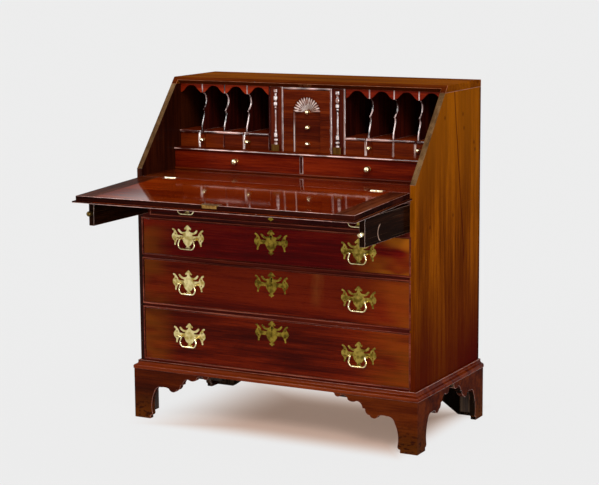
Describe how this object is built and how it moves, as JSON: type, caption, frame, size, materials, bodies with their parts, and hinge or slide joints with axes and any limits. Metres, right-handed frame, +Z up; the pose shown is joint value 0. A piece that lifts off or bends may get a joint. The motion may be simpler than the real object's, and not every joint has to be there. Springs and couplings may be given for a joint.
{
  "type": "slant-front desk",
  "caption": "Slant-front writing desk in mahogany: hinged lid open on pulled-out lopers, graduated drawers below, fitted pigeonhole interior, bracket feet.",
  "frame": {"origin": "middle of the floor space taken up by the desk with its lid open, at floor level", "axes": "+Z up, +Y towards the desk's back, +X to the right of someone facing the drawers"},
  "size_m": [1.028, 0.8848, 1.108],
  "materials": {
    "mahogany": "polished, semi-gloss",
    "pine": "bare, matte",
    "brass": "aged, polished high spots"
  },
  "bodies": {
    "case": {"left_side": "mahogany", "right_side": "mahogany", "top_board": "mahogany", "case_bottom": "pine", "back_boards": "pine", "writing_board": "mahogany", "drawer_blades": "mahogany", "drawer_runners": "pine", "loper_dividers": "pine", "cockbeads": "mahogany", "base_frame": "pine", "base_moulding": "mahogany", "front_feet": "mahogany", "rear_feet": "mahogany", "foot_glue_blocks": "pine", "gallery_shelves": "mahogany", "gallery_partitions": "mahogany", "pigeonhole_dividers": "mahogany", "valances": "mahogany", "hinge_case_leaves": "brass", "lock_strike": "brass"},
    "lid": {"lid_panel": "mahogany", "lid_end_battens": "mahogany", "lid_hinge_leaves": "brass", "lid_lock": "brass"},
    "left_loper": {"left_loper": "mahogany", "left_loper_knob": "brass"},
    "right_loper": {"right_loper": "mahogany", "right_loper_knob": "brass"},
    "bottom_drawer": {"bottom_drawer_front": "mahogany", "bottom_drawer_box": "pine", "bottom_drawer_brasses": "brass"},
    "bottom_drawer_left_bail": {"bottom_drawer_left_bail": "brass"},
    "bottom_drawer_right_bail": {"bottom_drawer_right_bail": "brass"},
    "third_drawer": {"third_drawer_front": "mahogany", "third_drawer_box": "pine", "third_drawer_brasses": "brass"},
    "third_drawer_left_bail": {"third_drawer_left_bail": "brass"},
    "third_drawer_right_bail": {"third_drawer_right_bail": "brass"},
    "second_drawer": {"second_drawer_front": "mahogany", "second_drawer_box": "pine", "second_drawer_brasses": "brass"},
    "second_drawer_left_bail": {"second_drawer_left_bail": "brass"},
    "second_drawer_right_bail": {"second_drawer_right_bail": "brass"},
    "top_drawer": {"top_drawer_front": "mahogany", "top_drawer_box": "pine", "top_drawer_brasses": "brass"},
    "top_drawer_left_bail": {"top_drawer_left_bail": "brass"},
    "top_drawer_right_bail": {"top_drawer_right_bail": "brass"},
    "left_long_inner_drawer": {"left_long_inner_drawer": "mahogany"},
    "right_long_inner_drawer": {"right_long_inner_drawer": "mahogany"},
    "left_inner_small_drawer": {"left_inner_small_drawer": "mahogany"},
    "left_outer_small_drawer": {"left_outer_small_drawer": "mahogany"},
    "right_inner_small_drawer": {"right_inner_small_drawer": "mahogany"},
    "right_outer_small_drawer": {"right_outer_small_drawer": "mahogany"},
    "centre_bottom_drawer": {"centre_bottom_drawer": "mahogany"},
    "centre_middle_drawer": {"centre_middle_drawer": "mahogany"},
    "centre_carved_drawer": {"centre_carved_drawer": "mahogany"},
    "left_document_drawer": {"left_document_drawer": "mahogany"},
    "right_document_drawer": {"right_document_drawer": "mahogany"}
  },
  "joints": [
    {"name": "lid_hinge", "type": "hinge", "parent": "case", "child": "lid", "pos_m": [0, -0.0617, 0.803], "axis": [1, 0, 0], "range_deg": [-132.75, 0]},
    {"name": "left_loper_slide", "type": "slide", "parent": "case", "child": "left_loper", "axis": [0, -1, 0], "range_m": [-0.304, 0]},
    {"name": "right_loper_slide", "type": "slide", "parent": "case", "child": "right_loper", "axis": [0, -1, 0], "range_m": [-0.304, 0]},
    {"name": "bottom_drawer_slide", "type": "slide", "parent": "case", "child": "bottom_drawer", "axis": [0, -1, 0], "range_m": [0, 0.3]},
    {"name": "bottom_drawer_left_bail_swing", "type": "hinge", "parent": "bottom_drawer", "child": "bottom_drawer_left_bail", "pos_m": [-0.3055, -0.0729, 0.28753], "axis": [-1, 0, 0], "range_deg": [0, 90]},
    {"name": "bottom_drawer_right_bail_swing", "type": "hinge", "parent": "bottom_drawer", "child": "bottom_drawer_right_bail", "pos_m": [0.3055, -0.0729, 0.28753], "axis": [-1, 0, 0], "range_deg": [0, 90]},
    {"name": "third_drawer_slide", "type": "slide", "parent": "case", "child": "third_drawer", "axis": [0, -1, 0], "range_m": [0, 0.3]},
    {"name": "third_drawer_left_bail_swing", "type": "hinge", "parent": "third_drawer", "child": "third_drawer_left_bail", "pos_m": [-0.3055, -0.0729, 0.46179], "axis": [-1, 0, 0], "range_deg": [0, 90]},
    {"name": "third_drawer_right_bail_swing", "type": "hinge", "parent": "third_drawer", "child": "third_drawer_right_bail", "pos_m": [0.3055, -0.0729, 0.46179], "axis": [-1, 0, 0], "range_deg": [0, 90]},
    {"name": "second_drawer_slide", "type": "slide", "parent": "case", "child": "second_drawer", "axis": [0, -1, 0], "range_m": [0, 0.3]},
    {"name": "second_drawer_left_bail_swing", "type": "hinge", "parent": "second_drawer", "child": "second_drawer_left_bail", "pos_m": [-0.3055, -0.0729, 0.60937], "axis": [-1, 0, 0], "range_deg": [0, 90]},
    {"name": "second_drawer_right_bail_swing", "type": "hinge", "parent": "second_drawer", "child": "second_drawer_right_bail", "pos_m": [0.3055, -0.0729, 0.60937], "axis": [-1, 0, 0], "range_deg": [0, 90]},
    {"name": "top_drawer_slide", "type": "slide", "parent": "case", "child": "top_drawer", "axis": [0, -1, 0], "range_m": [0, 0.3]},
    {"name": "top_drawer_left_bail_swing", "type": "hinge", "parent": "top_drawer", "child": "top_drawer_left_bail", "pos_m": [-0.3055, -0.0729, 0.72373], "axis": [-1, 0, 0], "range_deg": [0, 90]},
    {"name": "top_drawer_right_bail_swing", "type": "hinge", "parent": "top_drawer", "child": "top_drawer_right_bail", "pos_m": [0.3055, -0.0729, 0.72373], "axis": [-1, 0, 0], "range_deg": [0, 90]},
    {"name": "left_long_inner_drawer_slide", "type": "slide", "parent": "case", "child": "left_long_inner_drawer", "axis": [0, -1, 0], "range_m": [0, 0.18]},
    {"name": "right_long_inner_drawer_slide", "type": "slide", "parent": "case", "child": "right_long_inner_drawer", "axis": [0, -1, 0], "range_m": [0, 0.18]},
    {"name": "left_inner_small_drawer_slide", "type": "slide", "parent": "case", "child": "left_inner_small_drawer", "axis": [0, -1, 0], "range_m": [0, 0.15]},
    {"name": "left_outer_small_drawer_slide", "type": "slide", "parent": "case", "child": "left_outer_small_drawer", "axis": [0, -1, 0], "range_m": [0, 0.15]},
    {"name": "right_inner_small_drawer_slide", "type": "slide", "parent": "case", "child": "right_inner_small_drawer", "axis": [0, -1, 0], "range_m": [0, 0.15]},
    {"name": "right_outer_small_drawer_slide", "type": "slide", "parent": "case", "child": "right_outer_small_drawer", "axis": [0, -1, 0], "range_m": [0, 0.15]},
    {"name": "centre_bottom_drawer_slide", "type": "slide", "parent": "case", "child": "centre_bottom_drawer", "axis": [0, -1, 0], "range_m": [0, 0.15]},
    {"name": "centre_middle_drawer_slide", "type": "slide", "parent": "case", "child": "centre_middle_drawer", "axis": [0, -1, 0], "range_m": [0, 0.15]},
    {"name": "centre_carved_drawer_slide", "type": "slide", "parent": "case", "child": "centre_carved_drawer", "axis": [0, -1, 0], "range_m": [0, 0.15]},
    {"name": "left_document_drawer_slide", "type": "slide", "parent": "case", "child": "left_document_drawer", "axis": [0, -1, 0], "range_m": [0, 0.15]},
    {"name": "right_document_drawer_slide", "type": "slide", "parent": "case", "child": "right_document_drawer", "axis": [0, -1, 0], "range_m": [0, 0.15]}
  ]
}
